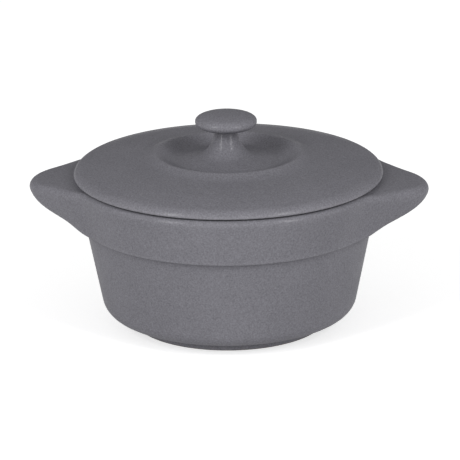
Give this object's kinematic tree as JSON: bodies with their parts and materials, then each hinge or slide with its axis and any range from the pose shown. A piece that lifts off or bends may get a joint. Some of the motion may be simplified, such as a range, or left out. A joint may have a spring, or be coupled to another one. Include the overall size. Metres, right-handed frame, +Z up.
{
  "type": "mini cocotte",
  "caption": "Small round glazed ceramic cocotte with a tapered wall, a collar band with lug handles, a foot ring and a lift-off domed lid with a dished centre and a button knob.",
  "frame": {"origin": "middle of the foot ring's lower face, on the pot's axis", "axes": "+X along the line through the handles, +Y away from the front, +Z up along the pot's axis, the way the lid lifts"},
  "size_m": [0.127, 0.0998, 0.0687],
  "materials": {
    "pot_glaze": "satin",
    "lid_glaze": "satin"
  },
  "bodies": {
    "pot": {"pot_bowl": "pot_glaze", "handle_left": "pot_glaze", "handle_right": "pot_glaze"},
    "lid": {"lid_disc": "lid_glaze", "lid_knob": "lid_glaze"}
  },
  "joints": [
    {"name": "lid_lift", "type": "slide", "parent": "pot", "child": "lid", "axis": [0, 0, 1], "range_m": [0, 0.08]}
  ]
}
